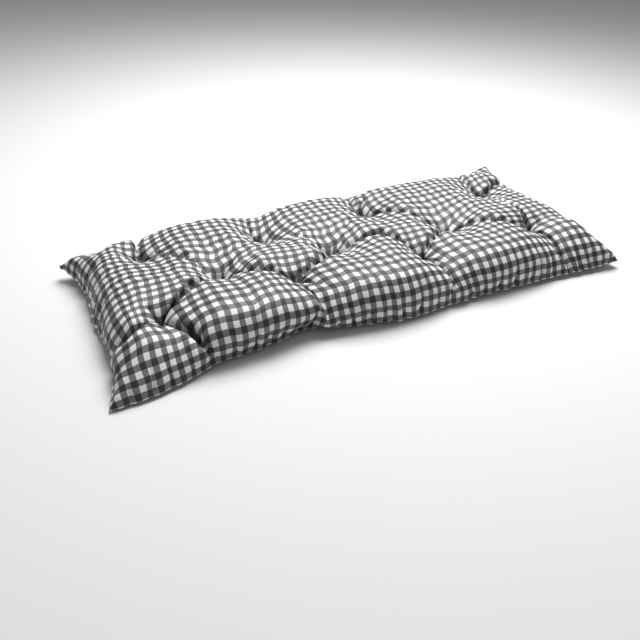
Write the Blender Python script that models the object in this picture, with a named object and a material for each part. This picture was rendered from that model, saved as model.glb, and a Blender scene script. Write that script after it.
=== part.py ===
"""Tufted bench cushion: two gingham panels sewn edge to edge, filled, and stitched through at eleven tufts.

Metres, +Z up. X runs along the bench, the front edge faces -Y, and the underside lies on z = 0 with the
origin at the bottom centre. The cushion is one filled solid. Each of its points is worked out from the
place it has on the flat panel (along, across), so creases and tufts are given in panel measures.
"""

import bmesh
import bpy
import numpy as np

# Driving dimensions
PANEL_LENGTH = 1.20  # sewn length of both panels, seam to seam
PANEL_WIDTH = 0.50  # sewn width of both panels
CROWN = 0.072  # rise of the fullest pillows over the tufts
MID_HEIGHT = 0.022  # height of the seam and of the tufts' middle over the seat
TUFT_HALF = 0.007  # half the squashed thickness left at a tuft
UNDERSIDE_DROP = 0.050  # how far the underside would swell with no seat below it

# Take-up: a filled panel covers less ground than a flat one
TAKE_UP = 0.963  # ground covered by each metre of panel inside the rim
RIM_PANEL = 0.090  # cloth from the seam up to the shoulder
RIM_GROUND = 0.068  # ground that this cloth covers where the side is full

# Grid of the panels: whole steps between tufts, so creases run along the edges of the mesh
STEPS_PER_TUFT_PITCH = 20
STEPS_PER_ROW_PITCH = 10

TUFT_PITCH = PANEL_LENGTH / 4  # four tufts in the front and back rows
ROW_PITCH = PANEL_WIDTH / 4  # three rows, a quarter of the width apart
TUFT_RADIUS = 0.046  # reach of the hollow round a tuft
TUFT_POWER = 1.2
CREASE_POWER = 1.3

SLATE = (0.22, 0.22, 0.225, 1.0)

# Tufts stitched off the regular places
SHIFTED_TUFTS = {
    # name: (along, across)
    "front_2": (-0.008, 0.014),
    "middle_2": (-0.030, 0.000),
    "middle_3": (-0.026, -0.004),
    "back_1": (0.016, 0.006),
    "back_3": (-0.018, 0.000),
    "back_4": (0.024, -0.014),
}
SHIFT_REACH = 0.11  # how far round a shifted tuft the cloth follows it
VALLEY_STEP = 0.0006  # two corners this much lower than the other two mark a valley

# Creases from a tuft to another tuft or out to the seam: name of each end, depth as a share of the
# pillow's height, and half width
CREASES = (
    # from, to, depth, half_width
    ("front_1", "middle_1", 0.42, 0.022),
    ("middle_1", "front_2", 0.30, 0.022),
    ("front_2", "middle_2", 0.36, 0.022),
    ("middle_2", "front_3", 0.30, 0.022),
    ("front_3", "middle_3", 0.34, 0.022),
    ("middle_3", "front_4", 0.32, 0.022),
    ("back_1", "middle_1", 0.36, 0.022),
    ("middle_1", "back_2", 0.32, 0.022),
    ("back_2", "middle_2", 0.38, 0.022),
    ("middle_2", "back_3", 0.34, 0.022),
    ("back_3", "middle_3", 0.36, 0.022),
    ("middle_3", "back_4", 0.36, 0.022),
    ("front_1", "front_seam_1", 0.62, 0.024),
    ("front_2", "front_seam_2", 0.50, 0.022),
    ("front_3", "front_seam_3", 0.36, 0.020),
    ("front_4", "front_seam_4", 0.34, 0.022),
    ("back_1", "back_seam_1", 0.50, 0.024),
    ("back_2", "back_seam_2", 0.44, 0.022),
    ("back_3", "back_seam_3", 0.44, 0.024),
    ("back_4", "back_seam_4", 0.55, 0.024),
    ("front_1", "left_seam_1", 0.36, 0.022),
    ("back_1", "left_seam_2", 0.30, 0.022),
    ("front_4", "right_seam_1", 0.14, 0.022),
    ("back_4", "right_seam_2", 0.50, 0.022),
)

# Where creases meet the seam, measured from the panel's front left corner, and how far the seam is
# drawn in there
SEAM_ENDS = (
    # name, along, across, drawn_in
    ("front_seam_1", 0.232, 0.000, 0.022),
    ("front_seam_2", 0.418, 0.000, 0.034),
    ("front_seam_3", 0.726, 0.000, 0.010),
    ("front_seam_4", 1.060, 0.000, 0.010),
    ("back_seam_1", 0.180, 0.500, 0.020),
    ("back_seam_2", 0.436, 0.500, 0.012),
    ("back_seam_3", 0.745, 0.500, 0.010),
    ("back_seam_4", 1.045, 0.500, 0.030),
    ("left_seam_1", 0.000, 0.120, 0.010),
    ("left_seam_2", 0.000, 0.385, 0.008),
    ("right_seam_1", 1.200, 0.110, 0.003),
    ("right_seam_2", 1.200, 0.400, 0.016),
)
SCALLOP_REACH = 0.045  # half width of a drawn-in stretch of seam
SCALLOP_DEPTH = 0.080  # how far into the panel the draw is felt

# Corners: how much each is lifted off the seat
CORNERS = (
    # along, across, lift
    (0.00, 0.00, -0.010),
    (1.20, 0.00, 0.006),
    (1.20, 0.50, 0.050),
    (0.00, 0.50, 0.014),
)
CORNER_REACH = 0.095

# Pillows that are fuller or flatter than the rest
PILLOWS = (
    # along, across, gain, reach
    (0.30, 0.08, 0.06, 0.10),
    (0.61, 0.09, 0.10, 0.10),
    (0.90, 0.09, 0.08, 0.10),
    (0.29, 0.41, 0.08, 0.10),
    (0.90, 0.42, 0.12, 0.10),
    (0.06, 0.25, -0.12, 0.12),
    (1.14, 0.25, -0.10, 0.12),
    (0.06, 0.45, -0.20, 0.10),
    (1.12, 0.06, -0.16, 0.10),
)


def regular_tufts():
    """Flat places of the tufts by name: rows of four, three and four, each row half a pitch on."""
    places = {}
    for row, (name, count, first) in enumerate((("front", 4, 0.5), ("middle", 3, 1.0), ("back", 4, 0.5))):
        for number in range(count):
            along = (first + number) * TUFT_PITCH
            places[f"{name}_{number + 1}"] = (along, (row + 1) * ROW_PITCH)
    return places


def follow_tufts(along, across):
    """Carry a regular pattern of points over to the tufts as stitched; the seam stays put."""
    places = regular_tufts()
    new_along, new_across = along.copy(), across.copy()
    for name, (shift_along, shift_across) in SHIFTED_TUFTS.items():
        place_along, place_across = places[name]
        away = np.hypot(along - place_along, across - place_across)
        share = np.cos(np.clip(away / SHIFT_REACH, 0.0, 1.0) * np.pi / 2) ** 2
        new_along += shift_along * share
        new_across += shift_across * share
    return new_along, new_across


def seam_distances(along, across):
    """Distances on the flat panel to the nearer end seam and to the nearer long seam."""
    return np.minimum(along, PANEL_LENGTH - along), np.minimum(across, PANEL_WIDTH - across)


def rim_angle(distance):
    """Angle climbed from the seam, 0 at the seam to a quarter turn at the shoulder."""
    return np.clip(distance / RIM_PANEL, 0.0, 1.0) * np.pi / 2


def ground_inset(distance, fullness):
    """Ground between the seam and a point: an arc under a full side, straight where the side is flat."""
    arc = RIM_GROUND * (1 - np.cos(rim_angle(distance)))
    inside = TAKE_UP * np.clip(distance - RIM_PANEL, 0.0, None)
    return fullness * (arc + inside) + (1 - fullness) * TAKE_UP * distance


def distance_to_line(along, across, start, end):
    """Distance on the flat panel from points to the straight line between two places."""
    start, end = np.array(start), np.array(end)
    run = end - start
    share = ((along - start[0]) * run[0] + (across - start[1]) * run[1]) / (run @ run)
    share = np.clip(share, 0.0, 1.0)
    return np.hypot(along - start[0] - share * run[0], across - start[1] - share * run[1])


def pillow_height(along, across):
    """Height of the filling, 0 at seam and tufts and about 1 on a full pillow, in the regular pattern."""
    tufts = regular_tufts()
    ends = dict(tufts)
    ends.update({name: (end_along, end_across) for name, end_along, end_across, _ in SEAM_ENDS})
    edge_along, edge_across = seam_distances(along, across)
    height = np.sin(rim_angle(edge_along)) * np.sin(rim_angle(edge_across))
    for start, end, depth, half_width in CREASES:
        away = distance_to_line(along, across, ends[start], ends[end])
        height *= 1 - depth * np.exp(-((away / half_width) ** CREASE_POWER))
    for place_along, place_across in tufts.values():
        away = np.hypot(along - place_along, across - place_across)
        height *= 1 - np.exp(-((away / TUFT_RADIUS) ** TUFT_POWER))
    gain = np.ones_like(along)
    for place_along, place_across, more, reach in PILLOWS:
        away = np.hypot(along - place_along, across - place_across)
        gain += more * np.exp(-((away / reach) ** 2))
    return height * gain


def plan_places(along, across):
    """Places in plan: the panel shrinks by the take-up, and the seam is drawn in where creases meet it."""
    edge_along, edge_across = seam_distances(along, across)
    full_along = np.sin(rim_angle(edge_along))
    full_across = np.sin(rim_angle(edge_across))
    half_x = ground_inset(PANEL_LENGTH / 2, full_across)
    half_y = ground_inset(PANEL_WIDTH / 2, full_along)
    x = np.sign(along - PANEL_LENGTH / 2) * (half_x - ground_inset(edge_along, full_across))
    y = np.sign(across - PANEL_WIDTH / 2) * (half_y - ground_inset(edge_across, full_along))
    for _, end_along, end_across, drawn_in in SEAM_ENDS:
        if end_across in (0.0, PANEL_WIDTH):
            near = np.exp(-(((along - end_along) / SCALLOP_REACH) ** 2))
            into = np.exp(-np.abs(across - end_across) / SCALLOP_DEPTH)
            y += (1 if end_across == 0.0 else -1) * drawn_in * near * into
        else:
            near = np.exp(-(((across - end_across) / SCALLOP_REACH) ** 2))
            into = np.exp(-np.abs(along - end_along) / SCALLOP_DEPTH)
            x += (1 if end_along == 0.0 else -1) * drawn_in * near * into
    return x, y


def middle_height(along, across):
    """Height of the layer midway between the panels, which lifts or drops at each corner."""
    middle = np.full_like(along, MID_HEIGHT)
    for corner_along, corner_across, lift in CORNERS:
        away = np.hypot(along - corner_along, across - corner_across)
        middle += lift * np.exp(-((away / CORNER_REACH) ** 2))
    return middle


def cushion_points(regular_along, regular_across, top):
    """Places in space of a regular pattern of points on the top panel (top true) or the underside panel."""
    along, across = follow_tufts(regular_along, regular_across)
    x, y = plan_places(along, across)
    middle = middle_height(along, across)
    edge_along, edge_across = seam_distances(along, across)
    rim = np.sin(rim_angle(edge_along)) * np.sin(rim_angle(edge_across))
    height = pillow_height(regular_along, regular_across)
    if top:
        z = middle + TUFT_HALF * rim + CROWN * height
    else:
        z = np.maximum(middle - TUFT_HALF * rim - UNDERSIDE_DROP * height, 0.0)
    return np.stack((x, y, z), axis=-1)


def split_along_valleys(faces):
    """Split each four-sided face; across a valley the cut follows the two lower corners."""
    for face in faces:
        corners = face.verts[:]
        drop = corners[1].co.z + corners[3].co.z - corners[0].co.z - corners[2].co.z
        first = 1 if drop < -VALLEY_STEP else 0
        bmesh.utils.face_split(face, corners[first], corners[first + 2])


def add_panel(mesh, top):
    """Add one panel as a grid and carry its points to their places."""
    steps_along = 4 * STEPS_PER_TUFT_PITCH
    steps_across = 4 * STEPS_PER_ROW_PITCH
    made = bmesh.ops.create_grid(mesh, x_segments=steps_along, y_segments=steps_across, size=0.5)
    verts = made["verts"]
    faces = list({face for vert in verts for face in vert.link_faces})
    unit = np.array([vert.co[:2] for vert in verts]) + 0.5
    places = cushion_points(unit[:, 0] * PANEL_LENGTH, unit[:, 1] * PANEL_WIDTH, top)
    for vert, place in zip(verts, places):
        vert.co = place
    if top:
        split_along_valleys(faces)
    else:
        bmesh.ops.reverse_faces(mesh, faces=faces)


def build_cushion(collection):
    """The one filled solid: both panels, merged along the seam."""
    mesh = bmesh.new()
    add_panel(mesh, top=True)
    add_panel(mesh, top=False)
    bmesh.ops.remove_doubles(mesh, verts=mesh.verts, dist=0.00001)
    data = bpy.data.meshes.new("cushion")
    mesh.to_mesh(data)
    mesh.free()
    data.shade_smooth()
    data.materials.append(gingham_cotton())
    cushion = bpy.data.objects.new("cushion", data)
    collection.objects.link(cushion)
    return cushion


def gingham_cotton():
    """Matte cotton in the mean grey of the checks."""
    material = bpy.data.materials.new("gingham_cotton")
    material.use_nodes = True
    shader = material.node_tree.nodes["Principled BSDF"]
    shader.inputs["Base Color"].default_value = SLATE
    shader.inputs["Roughness"].default_value = 0.9
    shader.inputs["Metallic"].default_value = 0.0
    return material


def main():
    for item in list(bpy.data.objects):
        bpy.data.objects.remove(item)
    collection = bpy.data.collections.new("bench_cushion")
    bpy.context.scene.collection.children.link(collection)
    build_cushion(collection)


main()
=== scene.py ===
"""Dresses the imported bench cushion: two gingham panels, filled, sewn edge to edge and stitched through.

Metres, +Z up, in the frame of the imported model: X along the bench, front edge towards -Y, seat at z = 0.
The cloth starts as flat panels, is carried to the place that the seam and the tufts take, and then swells
under the filling's push, held fast at the tufts and softly along the seam. The settled top is evened out
to the height that loose filling gives, and folds and puckers are pressed into it; the underside lies flat.
Places on the cloth are given on the flat panel as (along, across), from its front left corner.
"""

import bpy
import numpy as np
from bpy.props import FloatProperty, FloatVectorProperty, IntProperty, PointerProperty
from mathutils import Matrix, Vector


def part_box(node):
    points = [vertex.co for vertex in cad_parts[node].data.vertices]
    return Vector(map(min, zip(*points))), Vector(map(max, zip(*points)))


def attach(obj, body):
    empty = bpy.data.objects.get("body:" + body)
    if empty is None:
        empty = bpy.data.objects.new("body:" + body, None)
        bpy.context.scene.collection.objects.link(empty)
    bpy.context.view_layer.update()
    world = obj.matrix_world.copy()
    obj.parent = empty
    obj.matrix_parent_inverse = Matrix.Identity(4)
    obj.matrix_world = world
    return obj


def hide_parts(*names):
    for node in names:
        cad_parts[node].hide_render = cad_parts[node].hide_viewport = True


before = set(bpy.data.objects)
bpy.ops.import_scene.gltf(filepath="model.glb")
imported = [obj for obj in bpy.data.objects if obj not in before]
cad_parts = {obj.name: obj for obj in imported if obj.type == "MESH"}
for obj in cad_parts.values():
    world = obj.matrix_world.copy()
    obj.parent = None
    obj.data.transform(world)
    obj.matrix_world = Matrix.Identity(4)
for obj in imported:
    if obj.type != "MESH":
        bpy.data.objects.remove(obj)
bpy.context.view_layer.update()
SEAT_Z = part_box("cushion")[0].z

bl_info = {
    "name": "Gingham Bench Cushion",
    "version": (1, 0, 0),
    "blender": (4, 5, 0),
    "location": "View3D > Sidebar > Cushion",
    "description": "Makes a tufted bench cushion in gingham cotton, with its stage",
    "category": "Object",
}

PANEL_LENGTH = 1.20
PANEL_WIDTH = 0.50

# The flat panels lie this high before they are carried to their place
FLAT_TOP = 0.0205
FLAT_UNDERSIDE = 0.0195

# Margins that are let out further: where each starts on the flat panel, and its width
RIGHT_MARGIN = (1.05, 0.15)
BACK_MARGIN = (0.37, 0.13)
FRONT_MARGIN = 0.13

# The cloth as it is laid: pillows over the tufts' height, drop of the underside, width of the rim, radius
# of a tuft's hollow, half width of a valley and the power of both, radius of the pull to a tuft's place,
# and how low the underside may lie
LAID_CROWN = 0.07
LAID_DROP = 0.05
LAID_RIM = 0.09
LAID_HOLLOW = 0.046
LAID_VALLEY = 0.022
LAID_POWER = 1.2
TUFT_DRAW = 0.07
LOWEST = 0.003

# The seam's small waves: their length, the lengths over which they bunch and grow, and their height
RUFFLE = 0.034
RUFFLE_BUNCH = 0.19
RUFFLE_GROWTH = 0.27
RUFFLE_HEIGHT = 0.0022

# Frames by which the cloth is carried to its place, and let go
LAID_FRAME = 2
FREE_FRAME = 5

# How firmly the points next to the corner tips are held
CORNER_HOLD = 0.6

# Distances from the seam over which the cloth is drawn along with it, and over which the front face has its
# belly; past the limit in y, the back is drawn in by half
SEAM_DRAW = 0.015
BELLY_REACH = 0.13
BACK_LIMIT = 0.250

# At each tuft: depth and radius of the stitch's pit, height and radius of the puckers, and the cloth's pull
STITCH_PIT = (0.010, 0.006)
PUCKERS = (0.0016, 0.014)
TUFT_PULL = (0.35, 0.016)

# Slight crumples and drift: their shortest and longest waves, how near the seam folds and crumples end, how
# near it the pull and the drift end, and the least gap between the top panel and the seat
CRUMPLE_SPAN = (0.022, 0.110)
DRIFT_SPAN = (0.050, 0.160)
PRESS_END = 0.006
PULL_END = 0.012
TOP_GAP = 0.0015

# Underside: radius of its rise to a stitch, width of its rise to the seam, its gap over the seat, and the
# spread, shortest and longest waves of its crumples
STITCH_RISE = 0.020
SEAM_RISE = 0.014
SEAT_GAP = 0.0003
UNDER_CRUMPLE = 0.0007
UNDER_SPAN = (0.020, 0.080)

# Painted shade along folds and behind tufts: fold depth where it starts and is full, half width, radius at a
# tuft, and how far behind it
DARK_FROM = 0.006
DARK_OVER = 0.010
DARK_WIDTH = 0.0035
DARK_RADIUS = 0.012
DARK_BEHIND = 0.011
DARK_BEHIND_MIDDLE = 0.020

# Thread at each tuft: half its run in x, y and z, its bow and its radius, and its look
THREAD_RUN = (0.0042, 0.0012, 0.0)
THREAD_BOW = 0.0012
THREAD_RADIUS = 0.0008
THREAD_GREY = (0.12, 0.12, 0.12, 1.0)
THREAD_UNEVENNESS = 0.3
THREAD_ROUGHNESS = 0.7

# Cotton: its unevenness, the painted shade between yarns and the painted light that their tops add, the
# weave's bump and depth, and the roughness of its sheen
UNEVENNESS = 0.22
SHADE_BETWEEN_YARNS = 0.90
LIGHT_ON_YARN_TOPS = 0.22
WEAVE_BUMP = 0.35
WEAVE_DEPTH = 0.0002
SHEEN_SPREAD = 0.4

# Half the sides of the floor and of the seat that the cloth settles on, the floor's drop under the seat, and
# its roughness
FLOOR_HALF = 6.0
SEAT_HALF = 1.5
FLOOR_DROP = 0.0005
FLOOR_ROUGHNESS = 0.8

# Tufts: place on the flat panel, and place in plan where the stitch sits
TUFTS = {
    # name: (along, across, x, y)
    "front_1": (0.150, 0.125, -0.435, -0.102),
    "front_2": (0.442, 0.139, -0.156, -0.076),
    "front_3": (0.750, 0.125, 0.130, -0.103),
    "front_4": (1.050, 0.125, 0.425, -0.098),
    "middle_1": (0.300, 0.250, -0.289, -0.022),
    "middle_2": (0.570, 0.250, -0.041, -0.026),
    "middle_3": (0.874, 0.246, 0.241, -0.044),
    "back_1": (0.166, 0.381, -0.416, 0.120),
    "back_2": (0.450, 0.375, -0.166, 0.088),
    "back_3": (0.732, 0.375, 0.120, 0.116),
    "back_4": (1.074, 0.361, 0.429, 0.080),
}

# The seam as it lies, side by side round the cushion; each side runs from low x or low y to high
FRONT_SEAM = (
    # x, y, z
    (-0.580, -0.256, 0.004),
    (-0.511, -0.255, 0.006),
    (-0.445, -0.240, 0.008),
    (-0.372, -0.212, 0.008),
    (-0.300, -0.208, 0.008),
    (-0.250, -0.200, 0.008),
    (-0.203, -0.185, 0.008),
    (-0.171, -0.185, 0.008),
    (-0.105, -0.212, 0.008),
    (0.003, -0.238, 0.008),
    (0.050, -0.238, 0.008),
    (0.117, -0.232, 0.008),
    (0.228, -0.230, 0.008),
    (0.343, -0.236, 0.010),
    (0.405, -0.238, 0.010),
    (0.509, -0.248, 0.012),
    (0.577, -0.252, 0.017),
)
BACK_SEAM = (
    # x, y, z
    (-0.5775, 0.240, 0.030),
    (-0.480, 0.225, 0.015),
    (-0.400, 0.215, 0.012),
    (-0.330, 0.240, 0.014),
    (-0.230, 0.244, 0.016),
    (-0.160, 0.241, 0.022),
    (-0.090, 0.240, 0.014),
    (0.050, 0.241, 0.012),
    (0.125, 0.225, 0.012),
    (0.200, 0.238, 0.012),
    (0.360, 0.235, 0.015),
    (0.430, 0.222, 0.028),
    (0.470, 0.228, 0.038),
    (0.530, 0.236, 0.048),
    (0.5800, 0.2405, 0.064),
)
LEFT_SEAM = (
    # x, y, z
    (-0.580, -0.256, 0.004),
    (-0.554, -0.180, 0.010),
    (-0.545, -0.120, 0.012),
    (-0.552, 0.000, 0.010),
    (-0.545, 0.120, 0.012),
    (-0.553, 0.180, 0.015),
    (-0.5775, 0.2405, 0.030),
)
RIGHT_SEAM = (
    # x, y, z
    (0.577, -0.252, 0.017),
    (0.570, -0.180, 0.014),
    (0.564, -0.100, 0.012),
    (0.562, 0.000, 0.014),
    (0.557, 0.080, 0.026),
    (0.552, 0.140, 0.044),
    (0.562, 0.200, 0.049),
    (0.5800, 0.2405, 0.064),
)

# Valleys that run from a tuft to the seam, as the cloth is laid, and how firmly their floors are held
LAID_VALLEYS = (
    # tuft, far_along, far_across, middle_height, end_height, hold
    ("front_1", 0.215, 0.000, 0.036, 0.008, 0.15),
    ("front_1", 0.000, 0.118, 0.048, 0.012, 0.10),
    ("front_2", 0.415, 0.000, 0.066, 0.008, 0.03),
    ("front_3", 0.735, 0.000, 0.066, 0.008, 0.00),
    ("front_4", 1.060, 0.000, 0.056, 0.016, 0.03),
    ("back_1", 0.180, 0.500, 0.050, 0.014, 0.05),
    ("back_2", 0.420, 0.500, 0.074, 0.012, 0.00),
    ("back_3", 0.745, 0.500, 0.074, 0.012, 0.00),
    ("back_4", 1.050, 0.500, 0.046, 0.020, 0.10),
    ("back_4", 1.200, 0.410, 0.050, 0.045, 0.10),
)

# Valleys between pillows once they are filled: depth as a share of the height there at both ends and
# midway, and half width. A place is a tuft's name, or (along, across) on the flat panel
PILLOW_VALLEYS = (
    # from, to, first, midway, last, half_width
    ("front_1", (0.215, 0.000), 0.56, 0.60, 0.75, 0.015),
    ("front_1", (0.000, 0.100), 0.54, 0.42, 0.35, 0.013),
    ("front_1", "middle_1", 0.54, 0.42, 0.50, 0.015),
    ("middle_1", (0.360, 0.182), 0.50, 0.42, 0.42, 0.020),
    ((0.360, 0.182), "front_2", 0.42, 0.42, 0.50, 0.020),
    ("front_2", (0.530, 0.190), 0.50, 0.38, 0.38, 0.020),
    ((0.530, 0.190), "middle_2", 0.38, 0.38, 0.50, 0.020),
    ("middle_2", (0.688, 0.228), 0.50, 0.34, 0.34, 0.016),
    ((0.688, 0.228), "front_3", 0.34, 0.34, 0.50, 0.016),
    ("front_3", "middle_3", 0.50, 0.34, 0.50, 0.018),
    ("middle_3", "front_4", 0.50, 0.32, 0.50, 0.018),
    ("front_2", (0.428, 0.000), 0.50, 0.24, 0.30, 0.010),
    ("front_3", (0.742, 0.000), 0.50, 0.20, 0.25, 0.009),
    ("front_4", (1.062, 0.000), 0.50, 0.24, 0.35, 0.010),
    ("back_1", "middle_1", 0.50, 0.20, 0.50, 0.020),
    ("middle_1", "back_2", 0.50, 0.10, 0.50, 0.020),
    ("back_2", "middle_2", 0.50, 0.15, 0.50, 0.020),
    ("middle_2", "back_3", 0.50, 0.08, 0.50, 0.020),
    ("back_3", "middle_3", 0.50, 0.28, 0.50, 0.018),
    ("back_4", "front_4", 0.50, 0.18, 0.50, 0.010),
    ("back_1", (0.178, 0.500), 0.52, 0.45, 0.50, 0.014),
    ("back_2", (0.425, 0.500), 0.50, 0.16, 0.10, 0.013),
    ("back_3", (0.742, 0.500), 0.48, 0.06, 0.05, 0.013),
    ("back_4", (1.050, 0.500), 0.50, 0.42, 0.55, 0.013),
    ("back_4", (1.200, 0.405), 0.50, 0.45, 0.40, 0.012),
    ((0.000, 0.470), (0.110, 0.470), 0.40, 0.38, 0.25, 0.075),
    ((1.110, 0.470), (1.200, 0.470), 0.20, 0.22, 0.15, 0.060),
)

# Sharp folds, deepest where they start: at a tuft, or at the seam
FOLDS = (
    # from, to, depth, half_width
    ("front_1", (0.208, 0.015), 0.024, 0.0055),
    ("front_1", (0.180, 0.062), 0.008, 0.0045),
    ("front_1", (0.030, 0.101), 0.013, 0.0050),
    ("front_1", (0.238, 0.212), 0.018, 0.0045),
    ("front_1", (0.120, 0.180), 0.005, 0.0045),
    ("front_2", (0.428, 0.005), 0.019, 0.0045),
    ("front_2", (0.482, 0.075), 0.007, 0.0045),
    ("front_2", (0.395, 0.172), 0.006, 0.0045),
    ("front_2", (0.490, 0.190), 0.006, 0.0045),
    ("front_3", (0.742, 0.010), 0.017, 0.0040),
    ("front_3", (0.690, 0.158), 0.006, 0.0045),
    ("front_3", (0.800, 0.178), 0.007, 0.0045),
    ("front_3", (0.776, 0.070), 0.005, 0.0040),
    ("front_4", (1.066, 0.022), 0.012, 0.0045),
    ("front_4", (1.064, 0.240), 0.013, 0.0045),
    ("front_4", (0.985, 0.165), 0.006, 0.0045),
    ("front_4", (1.120, 0.160), 0.005, 0.0045),
    ("middle_1", (0.252, 0.272), 0.012, 0.0045),
    ("middle_1", (0.262, 0.215), 0.006, 0.0045),
    ("middle_1", (0.360, 0.205), 0.005, 0.0045),
    ("middle_1", (0.345, 0.295), 0.005, 0.0045),
    ("middle_2", (0.520, 0.298), 0.006, 0.0045),
    ("middle_2", (0.640, 0.215), 0.006, 0.0045),
    ("middle_2", (0.515, 0.205), 0.005, 0.0045),
    ("middle_2", (0.622, 0.300), 0.004, 0.0045),
    ("middle_3", (0.815, 0.300), 0.006, 0.0045),
    ("middle_3", (0.935, 0.215), 0.007, 0.0045),
    ("middle_3", (0.822, 0.200), 0.006, 0.0045),
    ("middle_3", (0.930, 0.292), 0.005, 0.0045),
    ("back_1", (0.180, 0.470), 0.014, 0.0050),
    ("back_1", (0.232, 0.345), 0.007, 0.0045),
    ("back_1", (0.105, 0.350), 0.005, 0.0045),
    ("back_2", (0.428, 0.452), 0.017, 0.0045),
    ("back_2", (0.510, 0.345), 0.006, 0.0045),
    ("back_2", (0.400, 0.330), 0.004, 0.0045),
    ("back_3", (0.722, 0.470), 0.015, 0.0045),
    ("back_3", (0.768, 0.455), 0.011, 0.0040),
    ("back_3", (0.690, 0.450), 0.012, 0.0040),
    ("back_3", (0.790, 0.330), 0.010, 0.0045),
    ("back_4", (1.046, 0.480), 0.013, 0.0045),
    ("back_4", (1.195, 0.404), 0.014, 0.0045),
    ((1.200, 0.405), (1.110, 0.374), 0.010, 0.0045),
    ("back_4", (1.064, 0.270), 0.012, 0.0040),
    ((0.292, 0.000), (0.298, 0.090), 0.008, 0.0045),
    ((0.318, 0.000), (0.322, 0.045), 0.005, 0.0045),
    ((0.252, 0.000), (0.248, 0.045), 0.005, 0.0045),
    ((0.352, 0.000), (0.350, 0.040), 0.004, 0.0040),
    ((0.388, 0.000), (0.394, 0.050), 0.005, 0.0040),
    ((0.472, 0.000), (0.478, 0.050), 0.006, 0.0040),
    ((0.505, 0.000), (0.496, 0.070), 0.008, 0.0045),
    ((0.540, 0.000), (0.530, 0.058), 0.007, 0.0040),
    ((0.572, 0.000), (0.575, 0.040), 0.005, 0.0040),
    ((0.612, 0.000), (0.606, 0.052), 0.006, 0.0040),
    ((0.650, 0.000), (0.664, 0.066), 0.008, 0.0045),
    ((0.700, 0.000), (0.704, 0.045), 0.005, 0.0040),
    ((0.790, 0.000), (0.802, 0.062), 0.008, 0.0045),
    ((0.822, 0.000), (0.824, 0.040), 0.005, 0.0040),
    ((0.862, 0.000), (0.872, 0.048), 0.006, 0.0040),
    ((0.905, 0.000), (0.918, 0.072), 0.008, 0.0045),
    ((0.950, 0.000), (0.952, 0.048), 0.006, 0.0040),
    ((0.985, 0.000), (0.972, 0.085), 0.009, 0.0045),
    ((1.015, 0.000), (1.010, 0.050), 0.006, 0.0040),
    ((1.092, 0.000), (1.098, 0.070), 0.009, 0.0045),
    ((1.125, 0.000), (1.122, 0.045), 0.006, 0.0040),
    ((1.160, 0.000), (1.150, 0.040), 0.005, 0.0040),
    ((0.040, 0.000), (0.044, 0.045), 0.005, 0.0045),
    ((0.082, 0.000), (0.086, 0.055), 0.006, 0.0045),
    ((0.120, 0.000), (0.116, 0.048), 0.006, 0.0045),
    ((0.160, 0.000), (0.164, 0.040), 0.005, 0.0045),
    ((0.000, 0.052), (0.055, 0.058), 0.006, 0.0045),
    ((0.000, 0.155), (0.060, 0.162), 0.006, 0.0045),
    ((0.000, 0.235), (0.050, 0.228), 0.006, 0.0045),
    ((0.000, 0.300), (0.065, 0.305), 0.007, 0.0045),
    ((0.000, 0.368), (0.045, 0.372), 0.006, 0.0045),
    ((1.200, 0.055), (1.150, 0.060), 0.006, 0.0045),
    ((1.200, 0.120), (1.155, 0.118), 0.005, 0.0040),
    ((1.200, 0.195), (1.140, 0.200), 0.006, 0.0045),
    ((1.200, 0.275), (1.150, 0.268), 0.005, 0.0040),
    ((1.200, 0.345), (1.145, 0.350), 0.006, 0.0045),
    ((0.100, 0.500), (0.104, 0.450), 0.006, 0.0045),
    ((0.250, 0.500), (0.246, 0.445), 0.006, 0.0045),
    ((0.330, 0.500), (0.334, 0.455), 0.005, 0.0040),
    ((0.520, 0.500), (0.515, 0.440), 0.006, 0.0045),
    ((0.610, 0.500), (0.612, 0.455), 0.005, 0.0040),
    ((0.700, 0.500), (0.708, 0.440), 0.006, 0.0045),
    ((0.785, 0.500), (0.776, 0.440), 0.006, 0.0045),
    ((0.880, 0.500), (0.884, 0.450), 0.006, 0.0040),
    ((0.960, 0.500), (0.955, 0.445), 0.006, 0.0045),
    ((1.120, 0.500), (1.118, 0.452), 0.006, 0.0045),
)


def on_panel(place):
    """Place on the flat panel of a tuft given by name, or the place itself."""
    return TUFTS[place][:2] if isinstance(place, str) else place


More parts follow.
